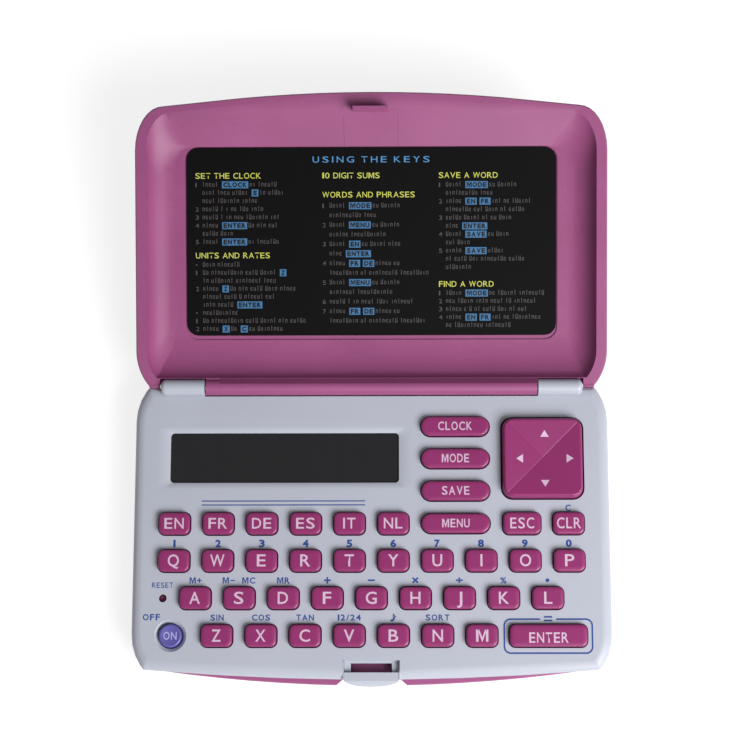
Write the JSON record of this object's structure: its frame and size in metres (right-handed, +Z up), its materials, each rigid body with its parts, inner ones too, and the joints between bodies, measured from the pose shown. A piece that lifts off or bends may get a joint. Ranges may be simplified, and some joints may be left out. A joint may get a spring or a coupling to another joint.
{
  "type": "handheld translator",
  "caption": "Pocket electronic translator: a flat base with a full keyboard, four-way pad and display under a hinged, latched lid that holds a reference card.",
  "frame": {"origin": "middle of the base's flat underside, half way between the hinge axis and the front edge of the deck", "axes": "+Z up from the desk, +X to the user's right along the hinge, +Y away from the user towards the hinge"},
  "size_m": [0.12, 0.1488, 0.0302],
  "materials": {
    "deck": "moulded satin",
    "shell": "fine spark-eroded texture",
    "card": "printed matt film",
    "lens": "polished acrylic",
    "latch": "moulded satin",
    "spring_steel": "drawn wire",
    "steel": "turned",
    "on_key": "moulded satin",
    "keys": "moulded satin",
    "mat": "moulded silicone",
    "board": "solder mask",
    "epoxy": "cured drop",
    "lcd": "polarised film",
    "zebra": "moulded",
    "brass": "rolled sheet",
    "cell": "pressed can",
    "contact": "sprung sheet"
  },
  "bodies": {
    "base": {"upper_case": "deck", "lower_case": "shell", "display_window": "lens", "latch_spring": "spring_steel", "hinge_pins": "steel", "key_mat": "mat", "circuit_board": "board", "chip_cover": "epoxy", "lcd_glass": "lcd", "zebra_strip": "zebra", "buzzer": "brass", "coin_cells": "cell", "battery_contacts": "contact", "case_screws": "steel"},
    "lid": {"lid_shell": "shell", "reference_card": "card"},
    "latch": {"latch_button": "latch"},
    "cover": {"battery_cover": "shell"},
    "pad_pivot": {"pad_pivot": "mat"},
    "pad": {"direction_pad": "keys"},
    "key_on": {"key_on": "on_key"},
    "key_q": {"key_q": "keys"},
    "key_w": {"key_w": "keys"},
    "key_e": {"key_e": "keys"},
    "key_r": {"key_r": "keys"},
    "key_t": {"key_t": "keys"},
    "key_y": {"key_y": "keys"},
    "key_u": {"key_u": "keys"},
    "key_i": {"key_i": "keys"},
    "key_o": {"key_o": "keys"},
    "key_p": {"key_p": "keys"},
    "key_a": {"key_a": "keys"},
    "key_s": {"key_s": "keys"},
    "key_d": {"key_d": "keys"},
    "key_f": {"key_f": "keys"},
    "key_g": {"key_g": "keys"},
    "key_h": {"key_h": "keys"},
    "key_j": {"key_j": "keys"},
    "key_k": {"key_k": "keys"},
    "key_l": {"key_l": "keys"},
    "key_z": {"key_z": "keys"},
    "key_x": {"key_x": "keys"},
    "key_c": {"key_c": "keys"},
    "key_v": {"key_v": "keys"},
    "key_b": {"key_b": "keys"},
    "key_n": {"key_n": "keys"},
    "key_m": {"key_m": "keys"},
    "key_lang_1": {"key_lang_1": "keys"},
    "key_lang_2": {"key_lang_2": "keys"},
    "key_lang_3": {"key_lang_3": "keys"},
    "key_lang_4": {"key_lang_4": "keys"},
    "key_lang_5": {"key_lang_5": "keys"},
    "key_lang_6": {"key_lang_6": "keys"},
    "key_esc": {"key_esc": "keys"},
    "key_clr": {"key_clr": "keys"},
    "key_enter": {"key_enter": "keys"},
    "pill_menu": {"pill_menu": "keys"},
    "pill_save": {"pill_save": "keys"},
    "pill_mode": {"pill_mode": "keys"},
    "pill_clock": {"pill_clock": "keys"}
  },
  "joints": [
    {"name": "lid_hinge", "type": "hinge", "parent": "base", "child": "lid", "pos_m": [0, 0.0367, 0.0114], "axis": [1, 0, 0], "range_deg": [0, 168]},
    {"name": "latch_press", "type": "slide", "parent": "base", "child": "latch", "axis": [0, 1, 0], "range_m": [0, 0.0007], "stiffness_N_per_m": 300, "springref_m": -0.0008, "deforming": ["latch_spring"]},
    {"name": "cover_slide", "type": "slide", "parent": "base", "child": "cover", "axis": [1, 0, 0], "range_m": [0, 0.02]},
    {"name": "pad_tilt_front_back", "type": "hinge", "parent": "base", "child": "pad_pivot", "pos_m": [0.0432, 0.01845, 0.0082], "axis": [1, 0, 0], "range_deg": [-3, 3], "stiffness_Nm_per_rad": 0.6},
    {"name": "pad_tilt_left_right", "type": "hinge", "parent": "pad_pivot", "child": "pad", "pos_m": [0.0432, 0.01845, 0.0082], "axis": [0, 1, 0], "range_deg": [-3, 3], "stiffness_Nm_per_rad": 0.6},
    {"name": "key_on_press", "type": "slide", "parent": "base", "child": "key_on", "axis": [0, 0, -1], "range_m": [0, 0.0007], "stiffness_N_per_m": 900, "springref_m": -0.0003, "deforming": ["key_mat"]},
    {"name": "key_q_press", "type": "slide", "parent": "base", "child": "key_q", "axis": [0, 0, -1], "range_m": [0, 0.0007], "stiffness_N_per_m": 900, "springref_m": -0.0003, "deforming": ["key_mat"]},
    {"name": "key_w_press", "type": "slide", "parent": "base", "child": "key_w", "axis": [0, 0, -1], "range_m": [0, 0.0007], "stiffness_N_per_m": 900, "springref_m": -0.0003, "deforming": ["key_mat"]},
    {"name": "key_e_press", "type": "slide", "parent": "base", "child": "key_e", "axis": [0, 0, -1], "range_m": [0, 0.0007], "stiffness_N_per_m": 900, "springref_m": -0.0003, "deforming": ["key_mat"]},
    {"name": "key_r_press", "type": "slide", "parent": "base", "child": "key_r", "axis": [0, 0, -1], "range_m": [0, 0.0007], "stiffness_N_per_m": 900, "springref_m": -0.0003, "deforming": ["key_mat"]},
    {"name": "key_t_press", "type": "slide", "parent": "base", "child": "key_t", "axis": [0, 0, -1], "range_m": [0, 0.0007], "stiffness_N_per_m": 900, "springref_m": -0.0003, "deforming": ["key_mat"]},
    {"name": "key_y_press", "type": "slide", "parent": "base", "child": "key_y", "axis": [0, 0, -1], "range_m": [0, 0.0007], "stiffness_N_per_m": 900, "springref_m": -0.0003, "deforming": ["key_mat"]},
    {"name": "key_u_press", "type": "slide", "parent": "base", "child": "key_u", "axis": [0, 0, -1], "range_m": [0, 0.0007], "stiffness_N_per_m": 900, "springref_m": -0.0003, "deforming": ["key_mat"]},
    {"name": "key_i_press", "type": "slide", "parent": "base", "child": "key_i", "axis": [0, 0, -1], "range_m": [0, 0.0007], "stiffness_N_per_m": 900, "springref_m": -0.0003, "deforming": ["key_mat"]},
    {"name": "key_o_press", "type": "slide", "parent": "base", "child": "key_o", "axis": [0, 0, -1], "range_m": [0, 0.0007], "stiffness_N_per_m": 900, "springref_m": -0.0003, "deforming": ["key_mat"]},
    {"name": "key_p_press", "type": "slide", "parent": "base", "child": "key_p", "axis": [0, 0, -1], "range_m": [0, 0.0007], "stiffness_N_per_m": 900, "springref_m": -0.0003, "deforming": ["key_mat"]},
    {"name": "key_a_press", "type": "slide", "parent": "base", "child": "key_a", "axis": [0, 0, -1], "range_m": [0, 0.0007], "stiffness_N_per_m": 900, "springref_m": -0.0003, "deforming": ["key_mat"]},
    {"name": "key_s_press", "type": "slide", "parent": "base", "child": "key_s", "axis": [0, 0, -1], "range_m": [0, 0.0007], "stiffness_N_per_m": 900, "springref_m": -0.0003, "deforming": ["key_mat"]},
    {"name": "key_d_press", "type": "slide", "parent": "base", "child": "key_d", "axis": [0, 0, -1], "range_m": [0, 0.0007], "stiffness_N_per_m": 900, "springref_m": -0.0003, "deforming": ["key_mat"]},
    {"name": "key_f_press", "type": "slide", "parent": "base", "child": "key_f", "axis": [0, 0, -1], "range_m": [0, 0.0007], "stiffness_N_per_m": 900, "springref_m": -0.0003, "deforming": ["key_mat"]},
    {"name": "key_g_press", "type": "slide", "parent": "base", "child": "key_g", "axis": [0, 0, -1], "range_m": [0, 0.0007], "stiffness_N_per_m": 900, "springref_m": -0.0003, "deforming": ["key_mat"]},
    {"name": "key_h_press", "type": "slide", "parent": "base", "child": "key_h", "axis": [0, 0, -1], "range_m": [0, 0.0007], "stiffness_N_per_m": 900, "springref_m": -0.0003, "deforming": ["key_mat"]},
    {"name": "key_j_press", "type": "slide", "parent": "base", "child": "key_j", "axis": [0, 0, -1], "range_m": [0, 0.0007], "stiffness_N_per_m": 900, "springref_m": -0.0003, "deforming": ["key_mat"]},
    {"name": "key_k_press", "type": "slide", "parent": "base", "child": "key_k", "axis": [0, 0, -1], "range_m": [0, 0.0007], "stiffness_N_per_m": 900, "springref_m": -0.0003, "deforming": ["key_mat"]},
    {"name": "key_l_press", "type": "slide", "parent": "base", "child": "key_l", "axis": [0, 0, -1], "range_m": [0, 0.0007], "stiffness_N_per_m": 900, "springref_m": -0.0003, "deforming": ["key_mat"]},
    {"name": "key_z_press", "type": "slide", "parent": "base", "child": "key_z", "axis": [0, 0, -1], "range_m": [0, 0.0007], "stiffness_N_per_m": 900, "springref_m": -0.0003, "deforming": ["key_mat"]},
    {"name": "key_x_press", "type": "slide", "parent": "base", "child": "key_x", "axis": [0, 0, -1], "range_m": [0, 0.0007], "stiffness_N_per_m": 900, "springref_m": -0.0003, "deforming": ["key_mat"]},
    {"name": "key_c_press", "type": "slide", "parent": "base", "child": "key_c", "axis": [0, 0, -1], "range_m": [0, 0.0007], "stiffness_N_per_m": 900, "springref_m": -0.0003, "deforming": ["key_mat"]},
    {"name": "key_v_press", "type": "slide", "parent": "base", "child": "key_v", "axis": [0, 0, -1], "range_m": [0, 0.0007], "stiffness_N_per_m": 900, "springref_m": -0.0003, "deforming": ["key_mat"]},
    {"name": "key_b_press", "type": "slide", "parent": "base", "child": "key_b", "axis": [0, 0, -1], "range_m": [0, 0.0007], "stiffness_N_per_m": 900, "springref_m": -0.0003, "deforming": ["key_mat"]},
    {"name": "key_n_press", "type": "slide", "parent": "base", "child": "key_n", "axis": [0, 0, -1], "range_m": [0, 0.0007], "stiffness_N_per_m": 900, "springref_m": -0.0003, "deforming": ["key_mat"]},
    {"name": "key_m_press", "type": "slide", "parent": "base", "child": "key_m", "axis": [0, 0, -1], "range_m": [0, 0.0007], "stiffness_N_per_m": 900, "springref_m": -0.0003, "deforming": ["key_mat"]},
    {"name": "key_lang_1_press", "type": "slide", "parent": "base", "child": "key_lang_1", "axis": [0, 0, -1], "range_m": [0, 0.0007], "stiffness_N_per_m": 900, "springref_m": -0.0003, "deforming": ["key_mat"]},
    {"name": "key_lang_2_press", "type": "slide", "parent": "base", "child": "key_lang_2", "axis": [0, 0, -1], "range_m": [0, 0.0007], "stiffness_N_per_m": 900, "springref_m": -0.0003, "deforming": ["key_mat"]},
    {"name": "key_lang_3_press", "type": "slide", "parent": "base", "child": "key_lang_3", "axis": [0, 0, -1], "range_m": [0, 0.0007], "stiffness_N_per_m": 900, "springref_m": -0.0003, "deforming": ["key_mat"]},
    {"name": "key_lang_4_press", "type": "slide", "parent": "base", "child": "key_lang_4", "axis": [0, 0, -1], "range_m": [0, 0.0007], "stiffness_N_per_m": 900, "springref_m": -0.0003, "deforming": ["key_mat"]},
    {"name": "key_lang_5_press", "type": "slide", "parent": "base", "child": "key_lang_5", "axis": [0, 0, -1], "range_m": [0, 0.0007], "stiffness_N_per_m": 900, "springref_m": -0.0003, "deforming": ["key_mat"]},
    {"name": "key_lang_6_press", "type": "slide", "parent": "base", "child": "key_lang_6", "axis": [0, 0, -1], "range_m": [0, 0.0007], "stiffness_N_per_m": 900, "springref_m": -0.0003, "deforming": ["key_mat"]},
    {"name": "key_esc_press", "type": "slide", "parent": "base", "child": "key_esc", "axis": [0, 0, -1], "range_m": [0, 0.0007], "stiffness_N_per_m": 900, "springref_m": -0.0003, "deforming": ["key_mat"]},
    {"name": "key_clr_press", "type": "slide", "parent": "base", "child": "key_clr", "axis": [0, 0, -1], "range_m": [0, 0.0007], "stiffness_N_per_m": 900, "springref_m": -0.0003, "deforming": ["key_mat"]},
    {"name": "key_enter_press", "type": "slide", "parent": "base", "child": "key_enter", "axis": [0, 0, -1], "range_m": [0, 0.0007], "stiffness_N_per_m": 900, "springref_m": -0.0003, "deforming": ["key_mat"]},
    {"name": "pill_menu_press", "type": "slide", "parent": "base", "child": "pill_menu", "axis": [0, 0, -1], "range_m": [0, 0.0007], "stiffness_N_per_m": 900, "springref_m": -0.0003, "deforming": ["key_mat"]},
    {"name": "pill_save_press", "type": "slide", "parent": "base", "child": "pill_save", "axis": [0, 0, -1], "range_m": [0, 0.0007], "stiffness_N_per_m": 900, "springref_m": -0.0003, "deforming": ["key_mat"]},
    {"name": "pill_mode_press", "type": "slide", "parent": "base", "child": "pill_mode", "axis": [0, 0, -1], "range_m": [0, 0.0007], "stiffness_N_per_m": 900, "springref_m": -0.0003, "deforming": ["key_mat"]},
    {"name": "pill_clock_press", "type": "slide", "parent": "base", "child": "pill_clock", "axis": [0, 0, -1], "range_m": [0, 0.0007], "stiffness_N_per_m": 900, "springref_m": -0.0003, "deforming": ["key_mat"]}
  ]
}
